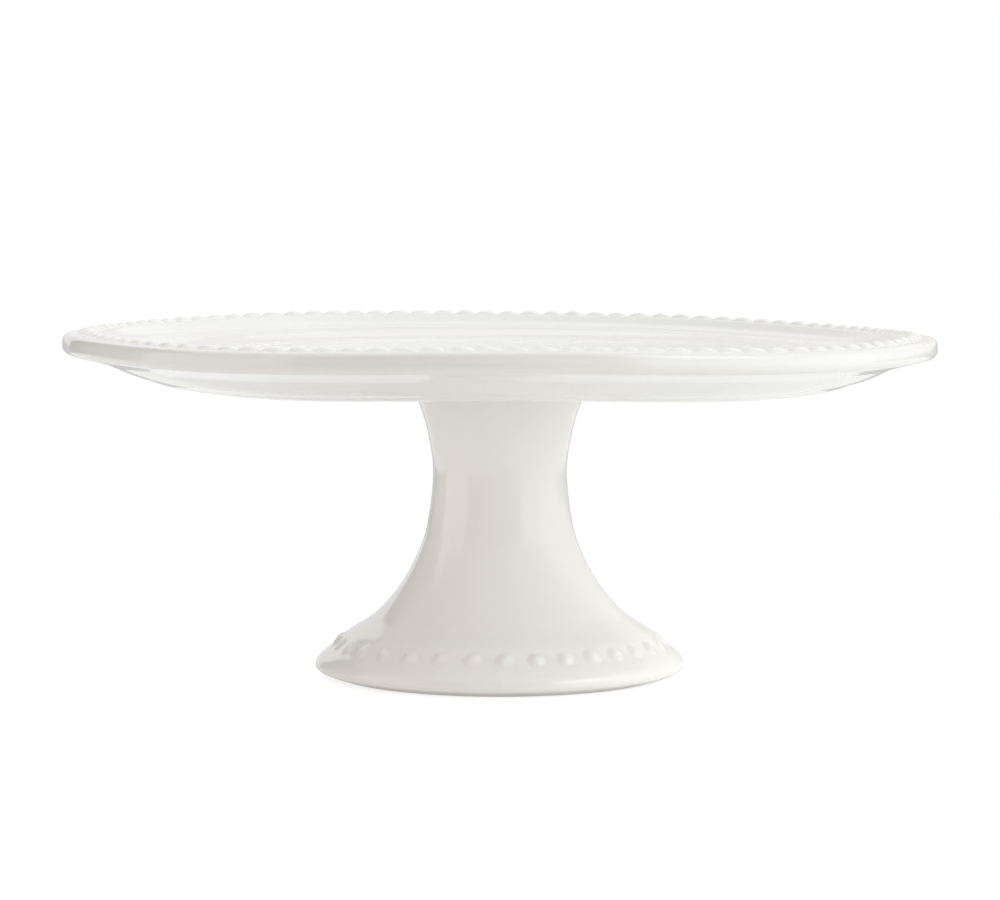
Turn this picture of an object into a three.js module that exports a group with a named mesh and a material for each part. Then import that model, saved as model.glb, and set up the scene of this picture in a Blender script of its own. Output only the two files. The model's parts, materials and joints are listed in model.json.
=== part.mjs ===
// Footed cake stand in glazed stoneware: a beaded plate on a hollow trumpet pedestal.
// Millimetres, +Z up, origin on the table in the middle of the foot, -Y towards the front.
// Angles around the stand are counted from the front (-Y) towards +X.
import * as THREE from "three";

// ---- driving dimensions -------------------------------------------------------------------
const PLATE_RADIUS = 165;          // outermost point of the lip
const LIP_Z = 125.6;               // height of that point
const LIP_CREST_Z = 130.1;         // top of the lip, outside the beads
const SHELF_Z = 125.8;             // low shelf between the cove and the well
const FLOOR_Z = 123.6;             // flat well floor that carries the cake
const FLOOR_RADIUS = 103;          // edge of the flat floor
const UNDERSIDE_Z = 114.8;         // flat underside inside the bottom ring
const BOTTOM_RING_Z = 111.4;       // lowest point of the plate
const PLATE_MIDDLE_Z = (FLOOR_Z + UNDERSIDE_Z) / 2;

const FOOT_RADIUS = 70.5;          // widest point of the foot
const CONTACT_OUTER = 62;          // ring that stands on the table
const CONTACT_INNER = 57.5;
const WAIST_RADIUS = 25.5;         // narrowest point of the stem
const WAIST_Z = 77;
const NECK_RADIUS = 34.2;          // stem where it meets the plate
const NECK_INNER = 27.5;
const NECK_Z = 113.4;

const RIM_BEAD_COUNT = 104;
const RIM_BEAD_CIRCLE = 156;       // radius of the circle through the bead centres
const RIM_BEAD_HALF_WIDTH = 3.7;   // across the strand, at a bead's middle
const RIM_BEAD_TOP_Z = 132.3;
const BEAD_SEAT_Z = 130.2;         // flat seat of the strand on the lip
const SEAT_HALF_WIDTH = 4.2;
const RIM_BEAD_START = -0.024;     // angle of the bead nearest the front, radians

const FOOT_BEAD_COUNT = 33;
const FOOT_BEAD_CIRCLE = 61.6;     // radius at which a pearl sits on the skirt
const FOOT_BEAD_SEAT_Z = 13.4;
const FOOT_BEAD_RADIUS = 2.9;
const FOOT_BEAD_HEIGHT = 1.2;
const FOOT_BEAD_TILT = 0.78;       // skirt normal above the horizontal, radians
const FOOT_BEAD_START = 0.01;      // angle of the pearl nearest the front, radians

const GAP = 0.3;                   // clearance between neighbouring pieces
const SLIP_THICKNESS = 0.8;

const PLATE_SEGMENTS = 72;
const PEDESTAL_SEGMENTS = 54;
const BEAD_SEGMENTS = 10;

// Kiln warp: the rim rises and falls by up to about 2 mm around the plate.
// Each wave is amplitude (mm) x cos(order x angle - phase).
const WARP_WAVES = [
  { order: 1, amplitude: 1.05, phase: -1.75 },
  { order: 2, amplitude: 0.64, phase: 0.5 },
  { order: 4, amplitude: 0.3, phase: 0.15 },
  { order: 5, amplitude: 0.4, phase: 0.25 },
];
// Radii between which the warp grows from nothing to its full size.
const TOP_WARP = { start: 100, full: 148 };
const UNDERSIDE_WARP = { start: 60, full: 125 };

// Hand spacing: how far a rim bead strays from its even angle, radians x sin(order x angle).
const SPACING_WAVES = [
  { order: 1, amplitude: 0.011 },
  { order: 2, amplitude: 0.022 },
  { order: 4, amplitude: -0.015 },
];
// The same for the pearls of the foot, radians x cos(3 x angle).
const FOOT_SPACING_WAVE = 0.019;

// ---- materials ----------------------------------------------------------------------------
function glaze(name, colour, roughness) {
  return new THREE.MeshStandardMaterial({ name, color: colour, roughness, metalness: 0 });
}

const PLATE_GLAZE = glaze("plate_glaze", 0xf3f1ec, 0.12);
const BEAD_GLAZE = glaze("bead_glaze", 0xf1eee8, 0.14);
const PEDESTAL_GLAZE = glaze("pedestal_glaze", 0xefe9e3, 0.12);
const PEARL_GLAZE = glaze("pearl_glaze", 0xefeae4, 0.14);
const RAW_SLIP = glaze("raw_slip", 0xe6ded2, 0.6);

// ---- helpers ------------------------------------------------------------------------------
function smoothstep(low, high, value) {
  const t = Math.min(Math.max((value - low) / (high - low), 0), 1);
  return t * t * (3 - 2 * t);
}

function kilnWarp(angle, radius, reach) {
  const weight = smoothstep(reach.start, reach.full, radius);
  let lift = 0;
  for (const wave of WARP_WAVES) {
    lift += wave.amplitude * Math.cos(wave.order * angle - wave.phase);
  }
  return weight * lift;
}

// Points of a smooth curve through the given [radius, height] pairs, without its last point.
function curveThrough(pairs, steps) {
  const curve = new THREE.SplineCurve(pairs.map(([r, z]) => new THREE.Vector2(r, z)));
  return curve.getPoints(steps).slice(0, -1);
}

// A profile turned about +Z; station 0 lies at the front.
function turned(profile, segments) {
  const geometry = new THREE.LatheGeometry(profile, segments);
  geometry.rotateX(Math.PI / 2);
  return geometry;
}

function named(name, geometry, material) {
  const mesh = new THREE.Mesh(geometry, material);
  mesh.name = name;
  return mesh;
}

// ---- plate --------------------------------------------------------------------------------
function plateUnderside() {
  return [
    new THREE.Vector2(0, UNDERSIDE_Z),
    new THREE.Vector2(60, UNDERSIDE_Z),
    ...curveThrough([[119, UNDERSIDE_Z], [122.5, 113], [126, BOTTOM_RING_Z], [130.2, 111.7]], 5),
    ...curveThrough([[130.2, 111.7], [133, 113.3], [138, 114.2], [143, 116.3], [149, 119.1]], 5),
    ...curveThrough([[149, 119.1], [155, 120.7], [160, 121.9]], 3),
  ];
}

function plateLip() {
  const crestR = PLATE_RADIUS - 2.5;
  return [
    ...curveThrough([[160, 121.9], [163.2, 122.7], [164.6, 124], [PLATE_RADIUS, LIP_Z]], 2),
    ...curveThrough([[PLATE_RADIUS, LIP_Z], [crestR + 2, 128.3], [crestR + 1.3, 129.6]], 2),
    ...curveThrough([[crestR + 1.3, 129.6], [crestR, LIP_CREST_Z]], 2),
    new THREE.Vector2(crestR, LIP_CREST_Z),
    new THREE.Vector2(RIM_BEAD_CIRCLE + SEAT_HALF_WIDTH, BEAD_SEAT_Z),
    new THREE.Vector2(RIM_BEAD_CIRCLE - SEAT_HALF_WIDTH, BEAD_SEAT_Z),
  ];
}

function plateTop() {
  return [
    ...curveThrough([[150.4, 129.4], [147, 127.5], [141, 126.3], [134, SHELF_Z]], 4),
    new THREE.Vector2(134, SHELF_Z),
    ...curveThrough([[123, 125.5], [113, 124.2], [FLOOR_RADIUS, FLOOR_Z]], 3),
    new THREE.Vector2(FLOOR_RADIUS, FLOOR_Z),
    new THREE.Vector2(50, FLOOR_Z),
    new THREE.Vector2(0, FLOOR_Z),
  ];
}

function warpRim(geometry) {
  const places = geometry.attributes.position;
  for (let i = 0; i < places.count; i += 1) {
    const x = places.getX(i);
    const y = places.getY(i);
    const z = places.getZ(i);
    const reach = z > PLATE_MIDDLE_Z ? TOP_WARP : UNDERSIDE_WARP;
    places.setZ(i, z + kilnWarp(Math.atan2(x, -y), Math.hypot(x, y), reach));
  }
  return geometry;
}

function makePlate() {
  const profile = [...plateUnderside(), ...plateLip(), ...plateTop()];
  return named("plate", warpRim(turned(profile, PLATE_SEGMENTS)), PLATE_GLAZE);
}

// ---- rim beading --------------------------------------------------------------------------
// Strand size along a bead: from the low ridge between two beads up to the bead's middle.
const STATION_HEIGHTS = [0.5, 0.68, 1, 0.68];
const STATION_WIDTHS = [0.78, 0.88, 1, 0.88];

// Section of the strand, as shares of the half width and of the height above the seat.
const STRAND_SECTION = [[-1, 0], [1, 0], [0.72, 0.7], [0, 1], [-0.72, 0.7]];

function strandAngle(even) {
  let angle = even;
  for (const wave of SPACING_WAVES) {
    angle += wave.amplitude * Math.sin(wave.order * even);
  }
  return angle;
}

function strandPlaces() {
  const seat = BEAD_SEAT_Z + GAP;
  const height = RIM_BEAD_TOP_Z - seat;
  const stations = RIM_BEAD_COUNT * STATION_HEIGHTS.length;
  const places = [];
  for (let i = 0; i < stations; i += 1) {
    const halfWidth = RIM_BEAD_HALF_WIDTH * STATION_WIDTHS[i % STATION_WIDTHS.length];
    const size = STATION_HEIGHTS[i % STATION_HEIGHTS.length];
    const angle = strandAngle(((i - 2) / stations) * 2 * Math.PI + RIM_BEAD_START);
    const lift = kilnWarp(angle, RIM_BEAD_CIRCLE, TOP_WARP);
    for (const [across, up] of STRAND_SECTION) {
      const r = RIM_BEAD_CIRCLE + across * halfWidth;
      places.push(r * Math.sin(angle), -r * Math.cos(angle), seat + up * size * height + lift);
    }
  }
  return places;
}

// Joins rings of equal point count into one closed band; the last ring meets the first.
function closedBand(places, ringSize) {
  const rings = places.length / 3 / ringSize;
  const index = [];
  for (let i = 0; i < rings; i += 1) {
    for (let j = 0; j < ringSize; j += 1) {
      const a = i * ringSize + j;
      const b = i * ringSize + ((j + 1) % ringSize);
      const c = ((i + 1) % rings) * ringSize + j;
      const d = ((i + 1) % rings) * ringSize + ((j + 1) % ringSize);
      index.push(a, c, b, b, c, d);
    }
  }
  const geometry = new THREE.BufferGeometry();
  geometry.setAttribute("position", new THREE.Float32BufferAttribute(places, 3));
  geometry.setIndex(index);
  geometry.computeVertexNormals();
  return geometry;
}

function makeRimBeading() {
  return named("rim_beading", closedBand(strandPlaces(), STRAND_SECTION.length), BEAD_GLAZE);
}

// ---- pedestal -----------------------------------------------------------------------------
const STEM_OUTSIDE = [
  [58.2, 16.6], [53, 19.4], [46.8, 24.2], [39.1, 33], [32.6, 44], [27.9, 57],
  [WAIST_RADIUS, WAIST_Z], [27.3, 92], [30.8, 104], [NECK_RADIUS, NECK_Z],
];

function pedestalOutside() {
  return [
    new THREE.Vector2(CONTACT_INNER, 0),
    new THREE.Vector2(CONTACT_OUTER, 0),
    ...curveThrough([
      [66.1, 1.3], [69.8, 2.9], [FOOT_RADIUS, 4.9], [69.2, 7.2], [66.6, 9.5],
    ], 6),
    ...curveThrough([[66.6, 9.5], [62.6, 12.3], [58.2, 16.6]], 3),
    ...curveThrough(STEM_OUTSIDE, 15),
    new THREE.Vector2(NECK_RADIUS, NECK_Z),
  ];
}

function pedestalInside() {
  return [
    new THREE.Vector2(NECK_INNER, NECK_Z),
    ...curveThrough([
      [NECK_INNER - 0.6, 110], [21.6, 94], [WAIST_RADIUS - 6.6, WAIST_Z], [21.2, 58],
      [26, 44], [33, 31.5], [43.5, 19.5], [54.5, 8.5],
    ], 9),
    new THREE.Vector2(54.5, 8.5),
    new THREE.Vector2(CONTACT_INNER, 0),
  ];
}

function makePedestal() {
  const profile = [...pedestalOutside(), ...pedestalInside()];
  return named("pedestal", turned(profile, PEDESTAL_SEGMENTS), PEDESTAL_GLAZE);
}

// ---- joining slip -------------------------------------------------------------------------
// A thin layer on top of the neck, with the squeezed-out fillet around the outside.
function makeSlipJoint() {
  const low = NECK_Z + GAP;
  const high = low + SLIP_THICKNESS;
  const outside = NECK_RADIUS + GAP;
  const profile = [
    new THREE.Vector2(NECK_INNER, low),
    new THREE.Vector2(outside + 0.2, low),
    new THREE.Vector2(outside - 0.3, NECK_Z - 2.2),
    new THREE.Vector2(outside + 0.9, NECK_Z - 1.2),
    new THREE.Vector2(outside + 2.4, high - 0.5),
    new THREE.Vector2(outside + 3.2, high),
    new THREE.Vector2(NECK_INNER, high),
    new THREE.Vector2(NECK_INNER, low),
  ];
  return named("slip_joint", turned(profile, PEDESTAL_SEGMENTS), RAW_SLIP);
}

// ---- foot pearls --------------------------------------------------------------------------
// A pearl is a low dome on a flat base, standing along the normal of the skirt.
function pearlGeometry() {
  const profile = [new THREE.Vector2(0, 0), new THREE.Vector2(FOOT_BEAD_RADIUS * 0.9, 0)];
  for (const rise of [0.25, 0.6, 1.0]) {
    const r = FOOT_BEAD_RADIUS * Math.cos(rise * 1.25);
    profile.push(new THREE.Vector2(r, FOOT_BEAD_HEIGHT * Math.sin(rise * 1.25)));
  }
  profile.push(new THREE.Vector2(0, FOOT_BEAD_HEIGHT));
  return turned(profile, BEAD_SEGMENTS);
}

function makeFootPearl(number) {
  const pearl = named(
    `foot_bead_${String(number + 1).padStart(2, "0")}`, pearlGeometry(), PEARL_GLAZE,
  );
  const even = (number / FOOT_BEAD_COUNT) * 2 * Math.PI;
  const angle = even + FOOT_BEAD_START + FOOT_SPACING_WAVE * Math.cos(3 * even);
  const radius = FOOT_BEAD_CIRCLE + GAP * Math.cos(FOOT_BEAD_TILT);
  const height = FOOT_BEAD_SEAT_Z + GAP * Math.sin(FOOT_BEAD_TILT);
  pearl.position.set(radius * Math.sin(angle), -radius * Math.cos(angle), height);
  pearl.rotation.order = "ZXY";
  pearl.rotation.z = angle;
  pearl.rotation.x = Math.PI / 2 - FOOT_BEAD_TILT;
  return pearl;
}

// ---- assembly -----------------------------------------------------------------------------
const stand = new THREE.Group();
stand.add(makePlate(), makeRimBeading(), makePedestal(), makeSlipJoint());
for (let number = 0; number < FOOT_BEAD_COUNT; number += 1) {
  stand.add(makeFootPearl(number));
}

export default stand;
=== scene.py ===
"""Footed cake stand in glazed stoneware: a beaded plate on a hollow trumpet pedestal.

Metres, +Z up, -Y towards the front. Angles around the stand are counted from the front
(-Y) towards +X. Outlines are written in millimetres, as [radius, height] pairs.
"""

import json
import logging
import math
from dataclasses import dataclass, field
from enum import Enum
from typing import Sequence

import bpy
import numpy as np
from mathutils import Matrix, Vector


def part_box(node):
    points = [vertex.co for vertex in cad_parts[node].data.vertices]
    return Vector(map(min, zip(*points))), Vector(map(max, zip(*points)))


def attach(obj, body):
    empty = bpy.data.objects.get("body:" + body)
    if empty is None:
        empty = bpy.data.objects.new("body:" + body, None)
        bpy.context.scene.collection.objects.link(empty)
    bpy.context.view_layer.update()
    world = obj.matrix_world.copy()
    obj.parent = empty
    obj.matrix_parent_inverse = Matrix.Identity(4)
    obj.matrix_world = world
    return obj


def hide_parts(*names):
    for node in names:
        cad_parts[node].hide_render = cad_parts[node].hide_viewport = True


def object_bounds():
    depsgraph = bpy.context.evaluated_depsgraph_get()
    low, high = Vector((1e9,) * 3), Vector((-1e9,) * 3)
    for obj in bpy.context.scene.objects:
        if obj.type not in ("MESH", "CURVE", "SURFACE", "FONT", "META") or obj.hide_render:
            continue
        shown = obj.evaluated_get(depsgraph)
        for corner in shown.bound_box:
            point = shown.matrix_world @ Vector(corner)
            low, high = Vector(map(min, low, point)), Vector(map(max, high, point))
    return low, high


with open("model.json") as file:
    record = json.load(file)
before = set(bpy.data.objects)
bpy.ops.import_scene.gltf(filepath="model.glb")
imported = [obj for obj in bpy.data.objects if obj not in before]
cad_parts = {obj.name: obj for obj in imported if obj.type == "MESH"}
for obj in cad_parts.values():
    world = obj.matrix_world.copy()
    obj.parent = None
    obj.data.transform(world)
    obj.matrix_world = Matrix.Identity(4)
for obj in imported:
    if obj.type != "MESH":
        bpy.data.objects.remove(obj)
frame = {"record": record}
CAD_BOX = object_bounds()

LOG = logging.getLogger("cake_stand")
MM = 0.001
TURN = 2 * math.pi

Outline = Sequence[Sequence[float]]
Colour = tuple[float, float, float]
WARM_THIN: Colour = (0.90, 0.882, 0.858)
WARM_POOLED: Colour = (0.86, 0.837, 0.81)


class Slot(Enum):
    """The record's material slots."""

    PLATE = "plate_glaze"
    BEADS = "bead_glaze"
    PEDESTAL = "pedestal_glaze"
    PEARLS = "pearl_glaze"
    SLIP = "raw_slip"


class Reach(Enum):
    """Radii in millimetres between which the kiln warp grows from nothing to its full size."""

    TOP = (100.0, 148.0)
    UNDERSIDE = (60.0, 125.0)


# ---- shapes --------------------------------------------------------------------------------
def ease(low: float, high: float, value: np.ndarray) -> np.ndarray:
    """Rises smoothly from 0 at low to 1 at high, as 3t^2 - 2t^3.

    Args:
        low: Where the rise starts.
        high: Where the rise ends.
        value: The places to work out.

    Returns:
        The eased share at each place.
    """
    t = np.clip((value - low) / (high - low), 0, 1)
    return t * t * (3 - 2 * t)


@dataclass(frozen=True)
class KilnWarp:
    """How the rim rose and fell in the kiln: a sum of cosine waves around the plate.

    Attributes:
        waves: (order, height in millimetres, phase) of each wave.
    """

    waves: tuple[tuple[int, float, float], ...] = (
        (1, 1.05, -1.75), (2, 0.64, 0.5), (4, 0.3, 0.15), (5, 0.4, 0.25),
    )

    def lift(self, angle: np.ndarray, radius: np.ndarray, reach: Reach) -> np.ndarray:
        """Sum of height x cos(order x angle - phase), times the eased share of the radius.

        Args:
            angle: Angles around the plate.
            radius: Radii in millimetres.
            reach: Which side of the plate it is.

        Returns:
            The rise of each point in millimetres.
        """
        total = sum(high * np.cos(order * angle - phase) for order, high, phase in self.waves)
        return total * ease(*reach.value, radius)


def through(pairs: Outline, step: float = 0.25) -> np.ndarray:
    """A curve through the pairs, sampled about every step millimetres.

    Between two neighbours it is the Catmull-Rom cubic, whose tangent at a pair is half the
    way from the pair before it to the pair after it.

    Args:
        pairs: The pairs in order.
        step: Distance between samples.

    Returns:
        Points of the curve, both ends included.
    """
    knots = np.asarray(pairs, float)
    before = np.vstack([knots[:1], knots[:-2]])
    after = np.vstack([knots[2:], knots[-1:]])
    runs = []
    for start, end, left, right in zip(knots[:-1], knots[1:], before, after):
        count = max(2, int(math.hypot(*(end - start)) / step))
        t = np.linspace(0, 1, count, endpoint=False)[:, None]
        first, last = (end - left) / 2, (right - start) / 2
        swing = (2 * (start - end) + first + last) * t**3
        bend = (3 * (end - start) - 2 * first - last) * t**2
        runs.append(swing + bend + first * t + start)
    return np.vstack([*runs, knots[-1:]])


def lengths_along(line: np.ndarray) -> np.ndarray:
    """Distance of each point of a line from its first point, measured along the line."""
    steps = np.hypot(*np.diff(line, axis=0).T)
    return np.concatenate([[0.0], np.cumsum(steps)])


def glaze_over(line: np.ndarray, softness: float, closed: bool) -> np.ndarray:
    """An outline with its corners filled and rounded, as a coat of glaze leaves them.

    The line is resampled every fifth of the softness and each point becomes the mean of
    its neighbours, weighted by a bell curve of that softness.

    Args:
        line: Points of the outline.
        softness: Width of the bell curve in millimetres.
        closed: Whether the last point meets the first.

    Returns:
        The softened outline, evenly spaced.
    """
    fineness = 5
    reach = 3 * fineness
    if closed:
        line = np.vstack([line, line[:1]])
    along = lengths_along(line)
    count = int(along[-1] / (softness / fineness))
    places = np.linspace(0, along[-1], count, endpoint=not closed)
    even = np.stack([np.interp(places, along, line[:, k]) for k in (0, 1)], axis=1)
    bell = np.exp(-0.5 * (np.arange(-reach, reach + 1) / fineness) ** 2)
    bell /= bell.sum()
    if closed:
        padded = np.vstack([even[-reach:], even, even[:reach]])
    else:
        head = 2 * even[0] - even[reach:0:-1]
        tail = 2 * even[-1] - even[-2:-reach - 2:-1]
        padded = np.vstack([head, even, tail])
    return np.stack([np.convolve(padded[:, k], bell, "valid") for k in (0, 1)], axis=1)


def bending(line: np.ndarray, closed: bool) -> np.ndarray:
    """Curvature of an evenly spaced outline, per millimetre; a left turn is positive."""
    if closed:
        slope = (np.roll(line, -1, axis=0) - np.roll(line, 1, axis=0)) / 2
        turn = (np.roll(slope, -1, axis=0) - np.roll(slope, 1, axis=0)) / 2
    else:
        slope = np.gradient(line, axis=0)
        turn = np.gradient(slope, axis=0)
    speed = np.maximum(np.hypot(*slope.T), 1e-9)
    return (slope[:, 0] * turn[:, 1] - slope[:, 1] * turn[:, 0]) / speed**3


@dataclass
class Section:
    """A softened outline thinned to the rows of a mesh, with the depth of glaze on it.

    Attributes:
        line: (radius, height) of each row, in millimetres.
        depth: Depth of glaze at each row, from 0 where it runs thin to 1 where it pools.
    """

    line: np.ndarray
    depth: np.ndarray

    CROWDING = 9
    RUNNING = 1.6

    @classmethod
    def cut(cls, raw: np.ndarray, softness: float, rows: int, closed: bool) -> "Section":
        """Softens an outline and spaces its rows closer where it bends.

        A row's share of the length is 1 + CROWDING x the curvature in its place, and glaze
        depth is 0.5 less RUNNING x the curvature, because glaze leaves edges and gathers
        in hollows.

        Args:
            raw: The outline, anticlockwise as seen with the axis on the left.
            softness: Width of the softening in millimetres.
            rows: How many rows to keep.
            closed: Whether the outline closes on itself.

        Returns:
            The section.
        """
        fine = glaze_over(raw, softness, closed)
        curve = bending(fine, closed)
        even = np.ones(9) / 9
        smooth = np.convolve(np.abs(curve), even, "same")
        shares = 1 + cls.CROWDING * np.minimum(smooth, 1.0)
        budget = np.concatenate([[0.0], np.cumsum(shares)[:-1]])
        wanted = np.linspace(0, budget[-1], rows, endpoint=not closed)
        line = np.stack([np.interp(wanted, budget, fine[:, k]) for k in (0, 1)], axis=1)
        pooled = np.convolve(0.5 - cls.RUNNING * curve, even, "same")
        return cls(line, np.clip(np.interp(wanted, budget, pooled), 0, 1))


@dataclass
class Shell:
    """A closed surface before it becomes a mesh.

    Attributes:
        points: Vertex places in metres, one row each.
        faces: Corner numbers of each four-sided face.
        caps: Corner numbers of each three-sided face.
        values: Named values, one for each vertex.
    """

    points: np.ndarray
    faces: np.ndarray
    caps: np.ndarray = field(default_factory=lambda: np.zeros((0, 3), int))
    values: dict[str, np.ndarray] = field(default_factory=dict)

    def volume(self) -> float:
        """Signed volume: positive when the faces point outwards."""
        corners = np.vstack([self.faces[:, [0, 1, 2]], self.faces[:, [0, 2, 3]], self.caps])
        a, b, c = (self.points[corners[:, k]] for k in range(3))
        return float(np.einsum("ij,ij->i", a, np.cross(b, c)).sum() / 6)

    def build(self, name: str) -> bpy.types.Object:
        """Makes the mesh object, with its faces pointing outwards and shaded smooth.

        Args:
            name: Name of the piece.

        Returns:
            The new object, at the origin.
        """
        if self.volume() < 0:
            self.faces = self.faces[:, ::-1]
            self.caps = self.caps[:, ::-1]
        mesh = bpy.data.meshes.new(name)
        mesh.from_pydata(self.points.tolist(), [], [*self.faces.tolist(), *self.caps.tolist()])
        mesh.validate()
        mesh.shade_smooth()
        for key, value in self.values.items():
            layer = mesh.attributes.new(key, "FLOAT", "POINT")
            layer.data.foreach_set("value", value.astype(np.float32))
        piece = bpy.data.objects.new(name, mesh)
        bpy.context.scene.collection.objects.link(piece)
        return piece


def net(rows: int, columns: int, rows_close: bool) -> np.ndarray:
    """Faces of a grid whose columns close in a circle.

    Args:
        rows: Points along the outline.
        columns: Points around the circle.
        rows_close: Whether the last row meets the first.

    Returns:
        Corner numbers, four for each face.
    """
    row = np.arange(rows if rows_close else rows - 1)[:, None]
    column = np.arange(columns)[None, :]
    below, beside = (row + 1) % rows, (column + 1) % columns
    corners = [row * columns + column, row * columns + beside,
               below * columns + beside, below * columns + column]
    return np.stack(corners, axis=-1).reshape(-1, 4)


def around(radius: np.ndarray, angle: np.ndarray, height: np.ndarray) -> np.ndarray:
    """Places in metres of points given by radius, angle from the front and height, in mm."""
    places = np.stack([radius * np.sin(angle), -radius * np.cos(angle), height], axis=-1)
    return places * MM


# ---- finishes ------------------------------------------------------------------------------
class Signal:
    """A shader socket that takes part in sums; each operator adds a Math node."""

    def __init__(self, recipe: "Recipe", socket: bpy.types.NodeSocket) -> None:
        """Wraps a socket of a recipe's node tree."""
        self.recipe = recipe
        self.socket = socket

    def _with(self, operation: str, first: object, second: object) -> "Signal":
        """A Math node on two values."""
        return self.recipe.node("ShaderNodeMath", {"operation": operation}, {0: first, 1: second})

    def __add__(self, other: object) -> "Signal":
        """self + other."""
        return self._with("ADD", self, other)

    __radd__ = __add__

    def __sub__(self, other: object) -> "Signal":
        """self - other."""
        return self._with("SUBTRACT", self, other)

    def __rsub__(self, other: object) -> "Signal":
        """other - self."""
        return self._with("SUBTRACT", other, self)

    def __mul__(self, other: object) -> "Signal":
        """self x other."""
        return self._with("MULTIPLY", self, other)

    __rmul__ = __mul__


class Recipe:
    """Builds one node tree from expressions."""

    def __init__(self, tree: bpy.types.NodeTree) -> None:
        """Starts from an empty tree."""
        self.tree = tree
        tree.nodes.clear()

    def node(self, kind: str, settings: dict | None = None, sockets: dict | None = None,
             output: int | str = 0) -> Signal:
        """Adds a node.

        Args:
            kind: Blender's type name of the node.
            settings: Properties of the node, set first.
            sockets: Value or Signal of each input, by name or number.
            output: Which output to give back.

        Returns:
            The output as a Signal.
        """
        made = self.tree.nodes.new(kind)
        for key, value in (settings or {}).items():
            setattr(made, key, value)
        for key, value in (sockets or {}).items():
            if isinstance(value, Signal):
                self.tree.links.new(value.socket, made.inputs[key])
            else:
                made.inputs[key].default_value = value
        return Signal(self, made.outputs[output] if made.outputs else made.inputs[0])

    def blend(self, share: object, first: object, second: object) -> Signal:
        """Colour that goes from first to second as share goes from 0 to 1."""
        settings = {"data_type": "RGBA", "blend_type": "MIX"}
        sockets = {0: share, 6: self.colour(first), 7: self.colour(second)}
        return self.node("ShaderNodeMix", settings, sockets, output=2)

    @staticmethod
    def colour(value: object) -> object:
        """A plain colour with its alpha added; a Signal as it is."""
        return value if isinstance(value, Signal) else (*value, 1.0)

    def step(self, value: Signal, low: float, high: float) -> Signal:
        """Rises smoothly from 0 at low to 1 at high, or falls where low is above high."""
        flip = low > high
        sockets = {"Value": value, "From Min": min(low, high), "From Max": max(low, high),
                   "To Min": float(flip), "To Max": float(not flip)}
        return self.node("ShaderNodeMapRange", {"interpolation_type": "SMOOTHSTEP"}, sockets)

    def noise(self, where: Signal, scale: float, detail: float = 2.0) -> Signal:
        """Cloudy noise from 0 to 1 on the given coordinates."""
        sockets = {"Vector": where, "Scale": scale, "Detail": detail}
        return self.node("ShaderNodeTexNoise", {}, sockets)


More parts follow.
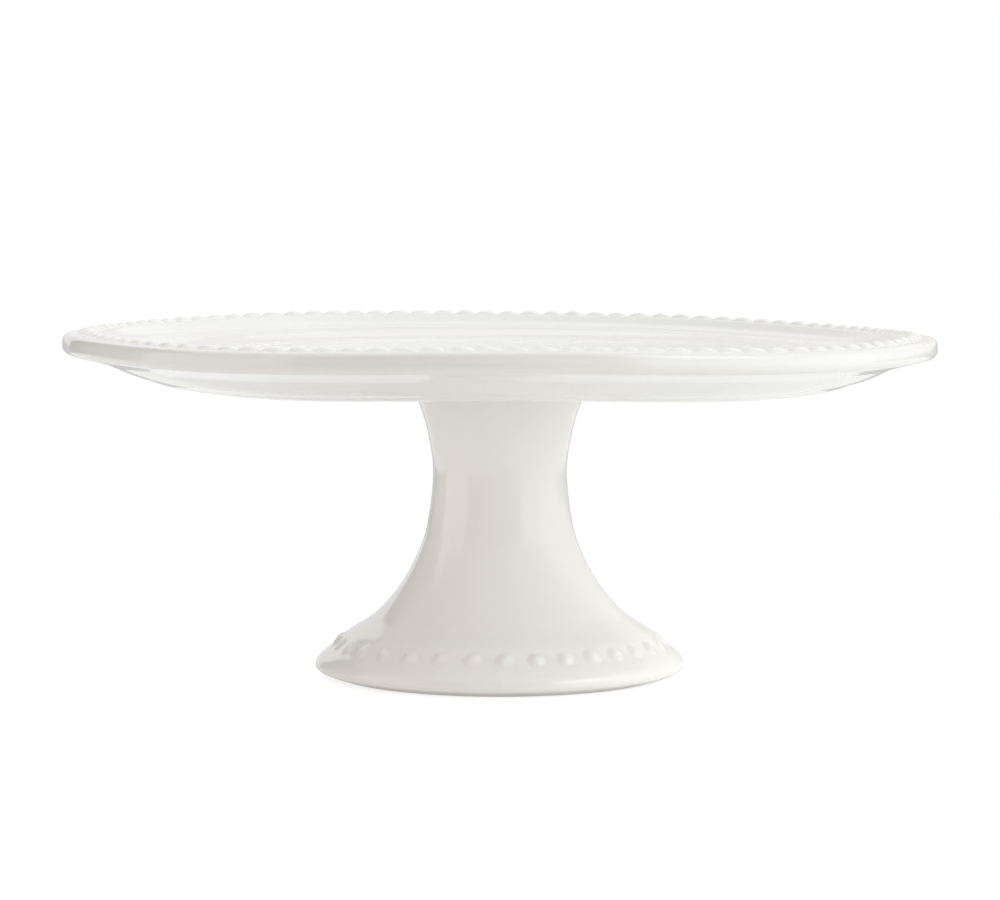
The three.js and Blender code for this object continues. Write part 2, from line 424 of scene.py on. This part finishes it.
@dataclass(frozen=True)
class Finish:
    """Clear glaze over a white stoneware body, with bare clay where no glaze lies.

    Attributes:
        slot: The record's material slot.
        thin: Colour where the glaze has run thin.
        pooled: Colour where the glaze has gathered.
        gloss: Roughness of the glaze.
        ripple: Height of the slow waves in the glaze, in millimetres.
        fleck: Strength of the sparse iron flecks.
    """

    slot: Slot
    # These default colours dress the rim beads; the darker pooled colour paints shade between the
    # beads.
    thin: Colour = (0.855, 0.853, 0.835)
    pooled: Colour = (0.82, 0.815, 0.795)
    gloss: float = 0.08
    ripple: float = 0.02
    fleck: float = 0.22

    CLAY = (0.72, 0.66, 0.57)
    FLECK = (0.42, 0.36, 0.29)
    CLAY_ROUGHNESS = 0.78
    CLAY_GRAIN_MM = 0.09
    SKIN_MM = 0.0008
    CLOUDS_PER_METRE = 16.0
    RIPPLES_PER_METRE = 38.0
    SKIN_PER_METRE = 130.0
    FLECKS_PER_METRE = 150.0
    GRAINS_PER_METRE = 2600.0

    def material(self) -> bpy.types.Material:
        """Builds the node material of this finish.

        Returns:
            The material, named after its slot.
        """
        made = bpy.data.materials.new(self.slot.value)
        made.use_nodes = True
        recipe = Recipe(made.node_tree)
        where = recipe.node("ShaderNodeTexCoord", output="Object")
        depth = recipe.node("ShaderNodeAttribute", {"attribute_name": "glaze_depth"}, output="Fac")
        bare = recipe.node("ShaderNodeAttribute", {"attribute_name": "bare_clay"}, output="Fac")
        cloud = recipe.noise(where, self.CLOUDS_PER_METRE)
        skin = recipe.noise(where, self.SKIN_PER_METRE, 3.0)
        grain = recipe.noise(where, self.GRAINS_PER_METRE, 3.0)
        colour = self._colour(recipe, where, depth, bare, cloud, grain)
        rough = (self.gloss + 0.05 * (skin - 0.5)) * (1 - bare) + self.CLAY_ROUGHNESS * bare
        normal = self._relief(recipe, where, skin, grain, bare)
        surface = recipe.node("ShaderNodeBsdfPrincipled", {}, {
            "Base Color": colour, "Roughness": rough, "Normal": normal,
            "Coat Weight": 0.3 * (1 - bare), "Coat Roughness": 0.03, "Coat IOR": 1.45,
            "IOR": 1.5, "Specular IOR Level": 0.5,
        })
        recipe.node("ShaderNodeOutputMaterial", {}, {"Surface": surface})
        return made

    def _colour(self, recipe: Recipe, where: Signal, depth: Signal, bare: Signal,
                cloud: Signal, grain: Signal) -> Signal:
        """Thin to pooled glaze by its depth and a slow cloud, then flecks, then bare clay."""
        share = depth + 0.9 * (cloud - 0.5)
        glaze = recipe.blend(share, self.thin, self.pooled)
        cells = {"Vector": where, "Scale": self.FLECKS_PER_METRE}
        near = recipe.node("ShaderNodeTexVoronoi", {}, cells, output="Distance")
        tint = recipe.node("ShaderNodeTexVoronoi", {}, cells, output="Color")
        lot = recipe.node("ShaderNodeSeparateColor", {}, {"Color": tint}, output="Red")
        fleck = recipe.step(near, 0.05, 0.02) * recipe.step(lot, 0.86, 0.9)
        flecked = recipe.blend(self.fleck * fleck, glaze, self.FLECK)
        dusty = recipe.blend(0.35 * grain, self.CLAY, self.pooled)
        return recipe.blend(bare, flecked, dusty)

    def _relief(self, recipe: Recipe, where: Signal, skin: Signal, grain: Signal,
                bare: Signal) -> Signal:
        """Slow ripples and a fine skin in the glaze, and the grain of bare clay."""
        slow = recipe.noise(where, self.RIPPLES_PER_METRE, 1.0)
        height = self.ripple * slow + self.SKIN_MM * skin + self.CLAY_GRAIN_MM * grain * bare
        return recipe.node("ShaderNodeBump", {}, {"Distance": MM, "Height": height})


# ---- the stand -----------------------------------------------------------------------------
@dataclass
class Piece:
    """One finished piece of the stand.

    Attributes:
        name: Name of the Blender piece.
        nodes: CAD nodes that it stands for.
        finish: What it is dressed in.
    """

    name: str
    nodes: tuple[str, ...]
    finish: Finish

    def place(self, shell: Shell, dress: bpy.types.Material) -> bpy.types.Object:
        """Builds the shell, dresses it and hands it to the frame.

        Args:
            shell: The surface.
            dress: The material.

        Returns:
            The finished piece.
        """
        piece = shell.build(self.name)
        piece.data.materials.append(dress)
        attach(piece, "root")
        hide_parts(*self.nodes)
        LOG.info("%s: %d points, %d faces", self.name, len(shell.points), len(piece.data.polygons))
        return piece


@dataclass
class Plate:
    """The plate: lip, cove, shelf and flat cake floor, on a ring underneath.

    Attributes:
        radius: Outermost point of the lip, from the frame.
        floor_z: Height of the cake floor, from the frame.
        warp: How the rim moved in the kiln.
        finish: Its glaze, darker and warmer where it runs thin over the edges: partly the body
            showing through thin glaze, partly painted shade on the lip's edges.
    """

    radius: float
    floor_z: float
    warp: KilnWarp
    # The thin colour is darker than the pooled one, so the lip's edges come out darker: partly thin
    # glaze over the body, partly painted shade on the lip.
    finish: Finish = field(default_factory=lambda: Finish(
        Slot.PLATE, thin=(0.795, 0.78, 0.76), pooled=(0.865, 0.867, 0.855)))
    lip_z: float = 125.6
    lip_low_z: float = 121.9
    crest_z: float = 130.1
    seat_z: float = 130.2
    seat: tuple[float, float] = (151.8, 160.2)
    underside_z: float = 114.8
    ring_z: float = 111.4
    softness: float = 0.7
    rows: int = 370
    columns: int = 256
    dimple_angle: float = -0.548
    dimple_width: float = 2.6
    dimple_depth: float = 0.3

    def outline(self) -> np.ndarray:
        """Half section: out along the underside, round the lip and back along the top."""
        crest = self.radius - 2.3
        floor = self.floor_z
        ring = [[119, self.underside_z], [122.5, 113], [126, self.ring_z], [129.8, 111.7],
                [133.5, 113], [138, 114.3], [143, 116.3], [149, 119.1]]
        flare = [[149, 119.1], [155, 120.7], [160, self.lip_low_z]]
        lip = [[160, self.lip_low_z], [163.2, 122.7], [164.6, 124], [self.radius, self.lip_z]]
        outer = [[self.radius, self.lip_z], [164.55, 128.3], [163.9, 129.6],
                 [crest, self.crest_z]]
        cove = [[151, 129.9], [148.5, 128.6], [145.6, 127.3], [141, 126.4], [134, 125.8]]
        slope = [[123, 125.5], [113, 124.2], [103, floor + 0.05], [98.6, floor + 0.12]]
        return np.vstack([
            [[0, self.underside_z], [60, self.underside_z]],
            through(ring)[:-1], through(flare)[:-1],
            through(lip)[:-1], through(outer),
            [[self.seat[1], self.seat_z], [self.seat[0], self.seat_z]],
            through(cove), through(slope), [[97.8, floor], [50, floor], [0, floor]],
        ])

    def section(self) -> Section:
        """The softened half section."""
        return Section.cut(self.outline(), self.softness, self.rows, closed=False)

    def top_height(self, radius: np.ndarray) -> np.ndarray:
        """Height of the rim's top side at the given radii, before the warp."""
        line = glaze_over(self.outline(), self.softness, closed=False)
        widest = int(np.argmax(line[:, 0]))
        top = line[widest:][::-1]
        return np.interp(radius, top[:, 0], top[:, 1])

    def shell(self) -> Shell:
        """Turns the section about the axis.

        A point at angle a is (r sin a, -r cos a, z + warp + waver). The waver is the slow
        wander of a thrown surface: 0.1 mm x sin(3a + 0.6z), under the outer part of the plate.

        Returns:
            The surface, closed at both ends by a fan of faces about a point on the axis.
        """
        section = self.section()
        inner = section.line[1:-1]
        angle = np.linspace(0, TURN, self.columns, endpoint=False)[None, :]
        radius, height = inner[:, :1], inner[:, 1:]
        middle = (self.floor_z + self.underside_z) / 2
        top = self.warp.lift(angle, radius, Reach.TOP)
        under = self.warp.lift(angle, radius, Reach.UNDERSIDE)
        lift = np.where(height > middle, top, under)
        waver = 0.1 * np.sin(3 * angle + 0.6 * height) * ease(110, 150, radius)
        lift = lift + np.where(height > middle, 0.0, waver)
        push = self._dimple(angle, radius, height)
        points = around(radius - push, angle, height + lift).reshape(-1, 3)
        last = len(points)
        poles = np.array([[0, 0, self.underside_z], [0, 0, self.floor_z]]) * MM
        ring = np.arange(self.columns)
        turn = np.roll(ring, -1)
        end = last - self.columns
        caps = np.vstack([
            np.stack([np.full_like(ring, last), turn, ring], axis=1),
            np.stack([np.full_like(ring, last + 1), end + ring, end + turn], axis=1),
        ])
        depth = np.repeat(section.depth[1:-1], self.columns)
        depth = np.concatenate([depth, section.depth[[0, -1]]])
        faces = net(len(inner), self.columns, rows_close=False)
        return Shell(np.vstack([points, poles]), faces, caps, {"glaze_depth": depth})

    def _dimple(self, angle: np.ndarray, radius: np.ndarray, height: np.ndarray) -> np.ndarray:
        """A shallow dent in the lip: depth x exp(-distance^2 / width^2), on the outside only."""
        aside = (np.angle(np.exp(1j * (angle - self.dimple_angle)))) * self.radius
        above = height - (self.lip_z + 1.2)
        dent = np.exp(-(aside**2 + above**2) / self.dimple_width**2)
        return self.dimple_depth * dent * (radius > self.seat[1])

    def make(self) -> bpy.types.Object:
        """Builds and dresses the plate."""
        piece = Piece("plate_glazed", ("plate",), self.finish)
        return piece.place(self.shell(), self.finish.material())


@dataclass
class RimBeading:
    """The row of fused beads on the lip, made as one strand that melts into the plate.

    Attributes:
        plate: The plate that it stands on.
        count: How many beads.
    """

    plate: Plate
    # The default finish's pooled colour is darker than its thin one: painted shade between the
    # beads.
    finish: Finish = field(default_factory=lambda: Finish(Slot.BEADS))
    count: int = 104
    circle: float = 156.0
    half_width: float = 3.4
    top_rise: float = 1.55
    valley_rise: float = 0.1
    half_length: float = 0.48
    start: float = -0.024
    stations: int = 18
    section: int = 26
    seed: int = 11

    def spaced(self, even: np.ndarray) -> np.ndarray:
        """Even angles moved by hand spacing: a sum of small sine waves around the rim."""
        waves = ((1, 0.011), (2, 0.022), (4, -0.015))
        return even + sum(size * np.sin(order * even) for order, size in waves)

    def shell(self) -> Shell:
        """The strand's surface.

        Along the strand a bead swells as (1 - (t / half length)^2)^0.95, t being the distance
        from its middle in pitches. Across, the rise falls off as (1 - |a|^2.2)^1.5, a being
        the share of the half width. The rise is added to the plate's own top side, and the
        edges dip just under it, so that bead and plate melt together.

        Returns:
            The closed band.
        """
        total = self.count * self.stations
        number = np.arange(total)
        bead = number // self.stations
        share = (number % self.stations) / self.stations - 0.5
        chance = np.random.default_rng(self.seed)
        tall = 1 + 0.09 * chance.uniform(-1, 1, self.count)[bead]
        long = self.half_length * (1 + 0.07 * chance.uniform(-1, 1, self.count)[bead])
        shift = 0.035 * chance.uniform(-1, 1, self.count)[bead]
        swell = np.clip(1 - ((share - shift) / long) ** 2, 0, 1) ** 0.95
        rise = self.valley_rise + (self.top_rise * tall - self.valley_rise) * swell
        width = self.half_width * (0.8 + 0.2 * swell)
        even = (bead + share) * TURN / self.count + self.start
        angle = self.spaced(even)[:, None]
        across = np.linspace(-1.12, 1.12, self.section)[None, :]
        radius = self.circle + across * width[:, None]
        dome = np.clip(1 - np.abs(across) ** 2.2, 0, 1) ** 1.5
        dip = 0.1 * ease(0.98, 1.12, np.abs(across))
        lift = self.plate.warp.lift(angle, radius, Reach.TOP)
        base = self.plate.top_height(radius) + lift
        upper = around(radius, angle, base + rise[:, None] * dome - dip)
        hidden = np.flip(across, axis=1)[:, 1:-1]
        under_r = self.circle + hidden * width[:, None]
        under_lift = self.plate.warp.lift(angle, under_r, Reach.TOP)
        lower = around(under_r, angle, self.plate.top_height(under_r) + under_lift - 0.35)
        points = np.concatenate([upper, lower], axis=1)
        rows, columns = points.shape[:2]
        # Depth is low on bead tops and high between beads and along their feet; with the darker
        # pooled colour this paints shade in the valleys between beads.
        low = 1 - swell[:, None] * np.clip(1 - across**2, 0, 1)
        depth = np.concatenate([low, np.ones_like(hidden) + 0 * angle], axis=1)
        faces = net(rows, columns, rows_close=True)
        return Shell(points.reshape(-1, 3), faces, values={"glaze_depth": 0.85 * depth.ravel()})

    def make(self) -> bpy.types.Object:
        """Builds and dresses the strand."""
        piece = Piece("rim_beading_glazed", ("rim_beading",), self.finish)
        return piece.place(self.shell(), self.finish.material())


@dataclass
class Pedestal:
    """The hollow trumpet foot: rounded lower lip, skirt, slender stem and flared neck.

    Attributes:
        foot_radius: Widest point of the foot, from the frame.
        neck_z: Top of the neck, from the frame.
    """

    foot_radius: float
    neck_z: float
    finish: Finish = field(default_factory=lambda: Finish(
        Slot.PEDESTAL, thin=WARM_THIN, pooled=WARM_POOLED))
    contact: tuple[float, float] = (57.5, 62.0)
    waist_radius: float = 25.5
    waist_z: float = 77.0
    neck_radius: float = 34.2
    neck_inner: float = 27.5
    softness: float = 0.5
    rows: int = 300
    columns: int = 220

    def outside(self) -> np.ndarray:
        """The outer outline from the table up to the neck."""
        lip = [[self.contact[1], 0], [66.1, 1.3], [69.8, 2.9], [self.foot_radius, 4.9],
               [69.2, 7.2], [66.6, 9.5]]
        skirt = [[66.6, 9.5], [62.6, 12.3], [58.2, 16.4], [53, 19.6]]
        stem = [[53, 19.6], [46.8, 24.2], [39.1, 33], [32.6, 44], [27.9, 57],
                [self.waist_radius, self.waist_z], [27.3, 92], [30.8, 104],
                [self.neck_radius, self.neck_z]]
        return np.vstack([through(lip)[:-1], through(skirt)[:-1], through(stem)])

    def outline(self) -> np.ndarray:
        """The whole closed section: contact ring, outside, top of the neck, inside."""
        inside = [[self.neck_inner, self.neck_z], [self.neck_inner - 0.6, 110], [21.6, 94],
                  [self.waist_radius - 6.6, self.waist_z], [21.2, 58], [26, 44], [33, 31.5],
                  [43.5, 19.5], [54.5, 8.5]]
        ring = [[self.contact[0], 0]]
        return np.vstack([ring, self.outside(), through(inside)])

    def shell(self) -> Shell:
        """Turns the closed section about the axis.

        A point at angle a is (r sin a, -r cos a, z), and above the foot the radius wanders
        by 0.12 mm x sin(2a + z / 30), as a hand-finished casting does.

        Returns:
            The closed surface, with bare clay marked on the contact ring.
        """
        section = Section.cut(self.outline(), self.softness, self.rows, closed=True)
        angle = np.linspace(0, TURN, self.columns, endpoint=False)[None, :]
        radius, height = section.line[:, :1], section.line[:, 1:]
        wander = 0.12 * np.sin(2 * angle + height / 30) * ease(12, 40, height)
        points = around(radius + wander, angle, np.maximum(height, 0) + 0 * angle)
        edge = 0.08 * np.sin(9 * angle) + 0.05 * np.sin(23 * angle + 1)
        on_ring = ease(56.0, 57.0, radius) * (1 - ease(62.6, 63.2, radius + edge))
        bare = on_ring * (1 - ease(0.25, 0.5, height + edge))
        depth = np.broadcast_to(section.depth[:, None], bare.shape)
        faces = net(self.rows, self.columns, rows_close=True)
        values = {"glaze_depth": depth.ravel(), "bare_clay": bare.ravel()}
        return Shell(points.reshape(-1, 3), faces, values=values)

    def make(self) -> bpy.types.Object:
        """Builds and dresses the pedestal."""
        piece = Piece("pedestal_glazed", ("pedestal",), self.finish)
        return piece.place(self.shell(), self.finish.material())


@dataclass
class SlipJoint:
    """The fillet of slip squeezed out where the neck meets the plate, under the glaze.

    Attributes:
        pedestal: The pedestal below it.
        plate: The plate above it.
    """

    pedestal: Pedestal
    plate: Plate
    finish: Finish = field(default_factory=lambda: Finish(
        Slot.SLIP, thin=(0.83, 0.80, 0.75), pooled=(0.77, 0.73, 0.67), gloss=0.16))
    drop: float = 2.4
    spread: float = 3.2
    rows: int = 48
    columns: int = 180

    def shell(self) -> Shell:
        """A ring with a hollow outer face that swells and shrinks a little around the neck.

        The outer face is a quarter of an ellipse from the neck's side to the plate's
        underside, and its radius wanders by a sum of three sine waves of 0.2 mm or less.

        Returns:
            The closed ring.
        """
        neck, top = self.pedestal.neck_radius, self.plate.underside_z
        low = self.pedestal.neck_z - self.drop
        turn = np.linspace(math.pi, math.pi / 2, 20)
        reach, rise = self.spread + 0.6, top - low
        face = np.stack([neck - 0.6 + reach * (1 + np.cos(turn)), low + rise * np.sin(turn)], 1)
        back = [[self.pedestal.neck_inner, top], [self.pedestal.neck_inner, top - 0.8],
                [neck - 1.2, low + 0.4]]
        section = Section.cut(np.vstack([face, back]), 0.25, self.rows, closed=True)
        angle = np.linspace(0, TURN, self.columns, endpoint=False)[None, :]
        radius, height = section.line[:, :1], section.line[:, 1:]
        wave = 0.2 * np.sin(5 * angle) + 0.12 * np.sin(11 * angle + 2) + 0.08 * np.sin(23 * angle)
        free = ease(neck - 0.4, neck + 1.5, radius)
        points = around(radius + wave * free, angle, height + 0 * angle)
        depth = np.broadcast_to(section.depth[:, None], points.shape[:2])
        faces = net(self.rows, self.columns, rows_close=True)
        return Shell(points.reshape(-1, 3), faces, values={"glaze_depth": depth.ravel()})

    def make(self) -> bpy.types.Object:
        """Builds and dresses the fillet."""
        piece = Piece("slip_fillet", ("slip_joint",), self.finish)
        return piece.place(self.shell(), self.finish.material())


@dataclass
class FootPearls:
    """The pearls around the skirt of the foot, each a low dome that melts into the skirt.

    Attributes:
        pedestal: The pedestal that they sit on.
        count: How many pearls.
    """

    pedestal: Pedestal
    finish: Finish = field(default_factory=lambda: Finish(
        Slot.PEARLS, thin=WARM_THIN, pooled=WARM_POOLED))
    count: int = 33
    circle: float = 61.7
    radius: float = 4.0
    rise: float = 1.15
    start: float = 0.01
    spacing: float = 0.019
    rings: int = 16
    spokes: int = 32
    seed: int = 5

    def ground(self) -> tuple[np.ndarray, np.ndarray, float]:
        """The skirt's outer face as lengths and points, and the length where the pearls sit."""
        line = glaze_over(self.pedestal.outline(), self.pedestal.softness, closed=True)
        along = lengths_along(line)
        skirt = (line[:, 1] > 6) & (line[:, 1] < 30) & (line[:, 0] > 57 - line[:, 1] / 4)
        along, line = along[skirt], line[skirt]
        centre = float(np.interp(-self.circle, -line[:, 0], along))
        return along, line, centre

    def shell(self, number: int, tall: float, wide: float) -> Shell:
        """One pearl on the skirt.

        A point at share q of the way out and bearing b lies q R (cos b, sin b) across and
        up the skirt, raised along its normal by rise x (1 - q^2)^2, and its edge dips
        just under the skirt.

        Args:
            number: Which pearl, counted from the front.
            tall: Factor on its rise.
            wide: Factor on its radius.

        Returns:
            The closed dome.
        """
        along, line, centre = self.ground()
        even = number / self.count * TURN
        middle = even + self.start + self.spacing * math.cos(3 * even)
        share = np.linspace(1 / self.rings, 1.08, self.rings)[:, None]
        bearing = np.linspace(0, TURN, self.spokes, endpoint=False)[None, :]
        share, bearing = np.broadcast_arrays(share, bearing)
        share = np.append(share.ravel(), [0.0, 0.0])
        bearing = np.append(bearing.ravel(), [0.0, 0.0])
        place = centre + share * self.radius * wide * np.sin(bearing)
        radius, height = (np.interp(place, along, line[:, k]) for k in (0, 1))
        slope = np.stack([np.interp(place + 0.2, along, line[:, k])
                          - np.interp(place - 0.2, along, line[:, k]) for k in (0, 1)], 1)
        slope /= np.hypot(*slope.T)[:, None]
        dome = np.clip(1 - share**2, 0, 1) ** 2
        out = self.rise * tall * dome - 0.1 * ease(0.97, 1.08, share)
        out[-1] = -0.4
        angle = middle + share * self.radius * wide * np.cos(bearing) / self.circle
        points = around(radius + out * slope[:, 1], angle, height - out * slope[:, 0])
        ring = np.arange(self.spokes)
        turn = np.roll(ring, -1)
        apex, root = len(points) - 2, len(points) - 1
        last = (self.rings - 1) * self.spokes
        caps = np.vstack([
            np.stack([np.full_like(ring, apex), turn, ring], axis=1),
            np.stack([np.full_like(ring, root), last + ring, last + turn], axis=1),
        ])
        faces = net(self.rings, self.spokes, rows_close=False)
        return Shell(points, faces, caps, {"glaze_depth": np.clip(0.15 + 0.8 * share, 0, 1)})

    def make(self) -> list[bpy.types.Object]:
        """Builds and dresses all the pearls."""
        chance = np.random.default_rng(self.seed)
        tall = 1 + 0.12 * chance.uniform(-1, 1, self.count)
        wide = 1 + 0.06 * chance.uniform(-1, 1, self.count)
        dress = self.finish.material()
        pearls = []
        for number in range(self.count):
            label = f"{number + 1:02d}"
            piece = Piece(f"foot_pearl_{label}", (f"foot_bead_{label}",), self.finish)
            shell = self.shell(number, float(tall[number]), float(wide[number]))
            pearls.append(piece.place(shell, dress))
        return pearls


# ---- the studio ----------------------------------------------------------------------------
@dataclass(frozen=True)
class Screen:
    """A soft panel or dark stretch of the studio, as seen from the stand.

    Attributes:
        name: What it stands for.
        azimuth: Left and right edge in degrees, from the front towards +X.
        elevation: Lower and upper edge in degrees.
        soft: Width of its soft edge in degrees.
        light: Its brightness in red, green and blue.
    """

    name: str
    azimuth: tuple[float, float]
    elevation: tuple[float, float]
    soft: float
    light: Colour


@dataclass(frozen=True)
class Lamp:
    """A soft rectangular lamp.

    Attributes:
        name: Its name.
        size: Width and height in metres.
        azimuth: Degrees from the front towards +X.
        elevation: Degrees above the stem.
        away: Distance from the axis in metres.
        power: Power in watts.
        colour: Colour of its light.
    """

    name: str
    size: tuple[float, float]
    azimuth: float
    elevation: float
    away: float
    power: float
    colour: Colour


@dataclass
class Studio:
    """White table, soft surround, lamps and camera.

    Attributes:
        table_side: Half the width of the table, in metres.
        table_front: How far the table reaches in front of the stand, in metres.
        table_back: How far it reaches behind, in metres.
        distance: Distance of the camera in front of the axis, in metres.
        height: Height of the camera in metres.
        pitch: How far the camera looks down, in radians.
        lens: Focal length in millimetres, on a 36 mm sensor.
        aim: Height at which the lamps point, in metres.
        room: Light of the walls between the screens.
        screens: Panels and dark stretches, each laid over the ones before it.
        lamps: Lamps that light the stand but aren't reflected in the glaze.
    """

    table_side: float = 0.7
    table_front: float = 0.62
    table_back: float = 0.6
    distance: float = 1.3953
    height: float = 0.19366
    pitch: float = 0.0773
    lens: float = 132.57
    aim: float = 0.07
    room: Colour = (0.995, 0.985, 0.955)
    screens: tuple[Screen, ...] = (
        Screen("ceiling", (-190, 190), (38, 100), 8.0, (1.02, 1.04, 1.04)),
        Screen("below the table", (-190, 190), (-100, 0.4), 1.2, (0.55, 0.55, 0.55)),
        Screen("back wall, right", (112, 190), (1.0, 14), 1.0, (0.86, 0.83, 0.81)),
        Screen("back wall, left", (-190, -152), (1.0, 14), 1.0, (0.87, 0.85, 0.865)),
        Screen("dark room behind the camera", (-57, 35), (-40, 60), 2.0, (0.23, 0.225, 0.2)),
        Screen("left panel", (-104, -59), (-16, 30), 1.0, (1.2, 1.17, 1.16)),
        Screen("gap beside the left panel", (-152, -104), (-40, 42), 2.0, (0.27, 0.275, 0.25)),
        Screen("edge of the right panel", (36.5, 38.5), (-16, 40), 0.8, (1.5, 1.5, 1.5)),
        Screen("right panel", (39.5, 112), (-12, 58), 0.8, (1.2, 1.235, 1.23)),
        Screen("window in the right panel", (47, 84), (27, 60), 1.0, (3.0, 3.0, 2.98)),
    )
    lamps: tuple[Lamp, ...] = (
        Lamp("soft_key", (0.95, 0.62), 64, 13, 1.5, 3.6, (0.94, 1.0, 1.0)),
        Lamp("soft_fill", (0.9, 0.5), -35, 8, 1.3, 2.0, (1.0, 0.84, 0.79)),
    )

    def table(self) -> bpy.types.Object:
        """Makes the white table top as a thin slab, a hair below the stand.

        It is brighter to the camera than to the glaze, so the picture's ground is white.
        """
        hair, thickness = 0.00005, 0.02
        top = CAD_BOX[0][2] - hair
        corners = [(x, y, z) for z in (top - thickness, top)
                   for x in (-self.table_side, self.table_side)
                   for y in (-self.table_front, self.table_back)]
        faces = [(0, 1, 3, 2), (4, 6, 7, 5), (0, 4, 5, 1), (2, 3, 7, 6), (0, 2, 6, 4), (1, 5, 7, 3)]
        mesh = bpy.data.meshes.new("table_top")
        mesh.from_pydata(corners, [], faces)
        slab = bpy.data.objects.new("table_top", mesh)
        bpy.context.scene.collection.objects.link(slab)
        made = bpy.data.materials.new("white_table")
        made.use_nodes = True
        recipe = Recipe(made.node_tree)
        paint = recipe.node("ShaderNodeBsdfPrincipled", {}, {
            "Base Color": (0.8, 0.8, 0.795, 1.0), "Roughness": 0.6,
            "Emission Color": (1.0, 1.0, 1.0, 1.0), "Emission Strength": 0.17,
        })
        lit = recipe.node("ShaderNodeBsdfPrincipled", {}, {
            "Base Color": (0.45, 0.45, 0.45, 1.0), "Roughness": 0.6,
            "Emission Color": (1.0, 1.0, 1.0, 1.0), "Emission Strength": 0.72,
        })
        seen = recipe.node("ShaderNodeLightPath", output="Is Camera Ray")
        surface = recipe.node("ShaderNodeMixShader", {}, {0: seen, 1: paint, 2: lit})
        recipe.node("ShaderNodeOutputMaterial", {}, {"Surface": surface})
        mesh.materials.append(made)
        return slab

    def surround(self) -> bpy.types.World:
        """Lights the room: an even white room with the screens laid over it."""
        world = bpy.data.worlds.new("studio")
        bpy.context.scene.world = world
        world.use_nodes = True
        recipe = Recipe(world.node_tree)
        ray = recipe.node("ShaderNodeTexCoord", output="Generated")
        x, y, z = (recipe.node("ShaderNodeSeparateXYZ", {}, {0: ray}, output=k) for k in range(3))
        bearing = recipe.node("ShaderNodeMath", {"operation": "ARCTAN2"}, {0: x, 1: -1.0 * y})
        climb = recipe.node("ShaderNodeMath", {"operation": "ARCSINE"}, {0: z})
        degrees = 180 / math.pi
        light = recipe.blend(0.0, self.room, self.room)
        for screen in self.screens:
            cover = self._band(recipe, bearing * degrees, screen.azimuth, screen.soft)
            cover = cover * self._band(recipe, climb * degrees, screen.elevation, screen.soft)
            light = recipe.blend(cover, light, screen.light)
        seen = recipe.node("ShaderNodeLightPath", output="Is Camera Ray")
        light = recipe.blend(seen, light, (1.0, 1.0, 1.0))
        glow = recipe.node("ShaderNodeBackground", {}, {"Color": light, "Strength": 1.0})
        recipe.node("ShaderNodeOutputWorld", {}, {"Surface": glow})
        return world

    @staticmethod
    def _band(recipe: Recipe, value: Signal, edges: tuple[float, float], soft: float) -> Signal:
        """1 between the edges and 0 outside them, with soft shoulders."""
        low, high = edges
        rise = recipe.step(value, low - soft, low + soft)
        return rise * recipe.step(value, high + soft, high - soft)

    def hang(self, lamp: Lamp) -> bpy.types.Object:
        """Hangs one soft lamp, aimed at the stem and left out of the reflections."""
        light = bpy.data.lights.new(lamp.name, "AREA")
        light.shape = "RECTANGLE"
        light.size, light.size_y = lamp.size
        light.energy = lamp.power
        light.color = lamp.colour
        hung = bpy.data.objects.new(lamp.name, light)
        bearing, climb = math.radians(lamp.azimuth), math.radians(lamp.elevation)
        hung.location = (lamp.away * math.cos(climb) * math.sin(bearing),
                         -lamp.away * math.cos(climb) * math.cos(bearing),
                         lamp.away * math.sin(climb) + self.aim)
        hung.rotation_euler = (math.pi / 2 - climb, 0, bearing)
        hung.visible_glossy = False
        bpy.context.scene.collection.objects.link(hung)
        return hung

    def camera(self) -> bpy.types.Object:
        """Stands the camera in front of the stand, just above the rim."""
        data = bpy.data.cameras.new("camera")
        data.lens = self.lens
        data.sensor_width = 36.0
        data.clip_start = 0.01
        camera = bpy.data.objects.new("camera", data)
        camera.location = (0, -self.distance, self.height)
        camera.rotation_euler = (math.pi / 2 - self.pitch, 0, 0)
        bpy.context.scene.collection.objects.link(camera)
        bpy.context.scene.camera = camera
        return camera

    def make(self) -> None:
        """Builds the studio and sets plain colour handling."""
        self.camera()
        self.table()
        self.surround()
        for lamp in self.lamps:
            self.hang(lamp)
        bpy.context.scene.view_settings.view_transform = "Standard"
        LOG.info("studio: table, surround, two soft lamps and camera")


def main() -> None:
    """Builds the studio and the stand."""
    logging.basicConfig(level=logging.INFO, format="%(name)s: %(message)s")
    Studio().make()
    plate_box, pedestal_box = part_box("plate"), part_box("pedestal")
    mounts = frame["record"]["mounts"]
    cake_mount = next(mount for mount in mounts if mount["name"] == "cake_surface")
    plate = Plate(
        radius=(plate_box[1].x - plate_box[0].x) / 2 / MM,
        floor_z=cake_mount["pos_m"][2] / MM,
        warp=KilnWarp(),
    )
    pedestal = Pedestal(
        foot_radius=(pedestal_box[1].x - pedestal_box[0].x) / 2 / MM,
        neck_z=pedestal_box[1].z / MM,
    )
    plate.make()
    RimBeading(plate).make()
    pedestal.make()
    SlipJoint(pedestal, plate).make()
    FootPearls(pedestal).make()


if __name__ == "__main__":
    main()
